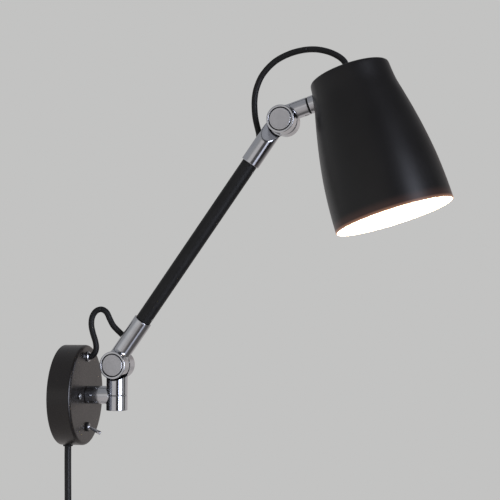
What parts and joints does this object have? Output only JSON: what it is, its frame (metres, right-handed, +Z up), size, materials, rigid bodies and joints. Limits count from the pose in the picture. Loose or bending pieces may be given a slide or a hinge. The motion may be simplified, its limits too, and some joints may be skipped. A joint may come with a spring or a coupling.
{
  "type": "swing arm wall sconce",
  "caption": "Wall-mounted reading lamp with a round canopy, a swivel post, a tilting tube arm between lap knuckles and a turned bell shade.",
  "frame": {"origin": "centre of the mounting plate's back face, on the wall", "axes": "+Z up, -Y out of the wall into the room, +X to the right when facing the wall"},
  "size_m": [0.1965, 0.3966, 0.6395],
  "materials": {
    "canopy_black": "satin black powder coat",
    "tube_black": "satin black powder coat",
    "shade_black": "satin black outside, white enamel inside",
    "polished_metal": "polished, slightly darkened reflections",
    "satin_cap": "satin, machined flat",
    "zinc_steel": "bright zinc plate",
    "earth_brass": "plain brass",
    "rubber_black": "matt",
    "cord_black": "matt sheath",
    "black_plastic": "moulded, matt",
    "plug_black": "moulded, slight sheen",
    "white_plastic": "moulded",
    "opal_bulb": "opal, lit warm white"
  },
  "bodies": {
    "wall_base": {"mounting_plate": "zinc_steel", "canopy": "canopy_black", "cover_screw_left": "zinc_steel", "cover_screw_right": "zinc_steel", "wall_post": "polished_metal", "post_washer": "zinc_steel", "post_nut": "zinc_steel", "flex_grommet": "polished_metal", "cord_bush": "rubber_black", "cord_clamp": "zinc_steel", "cord_clamp_screw": "zinc_steel", "terminal_block": "white_plastic", "earth_screw": "earth_brass", "toggle_body": "black_plastic", "toggle_nut": "black_plastic", "lower_flex": "cord_black", "mains_cord": "cord_black", "cord_coil": "cord_black", "cord_tie": "rubber_black", "plug": "plug_black", "plug_cord": "cord_black"},
    "toggle": {"toggle_lever": "polished_metal"},
    "swivel": {"swivel_barrel": "polished_metal", "swivel_bolt": "zinc_steel", "swivel_washer": "zinc_steel", "lower_pivot_bolt": "zinc_steel", "lower_pivot_nut": "zinc_steel", "lower_disc_spring": "zinc_steel", "lower_friction_washer": "black_plastic", "lower_cap_rear": "satin_cap"},
    "arm": {"arm_lower_bracket": "polished_metal", "lower_cap_front": "satin_cap", "arm_upper_bracket": "polished_metal", "upper_cap_rear": "satin_cap", "upper_pivot_bolt": "zinc_steel", "upper_pivot_nut": "zinc_steel", "upper_disc_spring": "zinc_steel", "upper_friction_washer": "black_plastic", "arm_tube": "tube_black", "lower_grub_screw": "zinc_steel", "upper_grub_screw": "zinc_steel", "inner_lead": "cord_black", "upper_flex": "cord_black"},
    "head": {"head_knuckle": "polished_metal", "head_grub_screw": "zinc_steel", "head_ring": "rubber_black", "upper_cap_front": "satin_cap"},
    "shade": {"shade_stub": "polished_metal", "stub_washer": "zinc_steel", "stub_nut": "zinc_steel", "shade": "shade_black", "cord_grip": "polished_metal", "lampholder_cap": "black_plastic", "lampholder": "black_plastic", "bulb_cap": "zinc_steel", "bulb_globe": "opal_bulb"}
  },
  "joints": [
    {"name": "toggle_throw", "type": "hinge", "parent": "wall_base", "child": "toggle", "pos_m": [0, -0.0263, -0.0325], "axis": [-1, 0, 0], "range_deg": [0, 54]},
    {"name": "post_swivel", "type": "hinge", "parent": "wall_base", "child": "swivel", "pos_m": [0, -0.0564, 0], "axis": [0, 0, 1], "range_deg": [-74, 86], "deforming": ["lower_flex"]},
    {"name": "arm_tilt", "type": "hinge", "parent": "swivel", "child": "arm", "pos_m": [0, -0.0564, 0.0308], "axis": [-0.9945, 0.1045, 0], "range_deg": [-69, 41]},
    {"name": "head_tilt", "type": "hinge", "parent": "arm", "child": "head", "pos_m": [-0.01843, -0.23177, 0.2735], "axis": [-0.9945, 0.1045, 0], "range_deg": [-50, 70], "deforming": ["upper_flex"]},
    {"name": "shade_turn", "type": "hinge", "parent": "head", "child": "shade", "pos_m": [-0.0212, -0.2581, 0.28746], "axis": [-0.1, -0.9511, 0.2924], "range_deg": [-85, 85]}
  ]
}
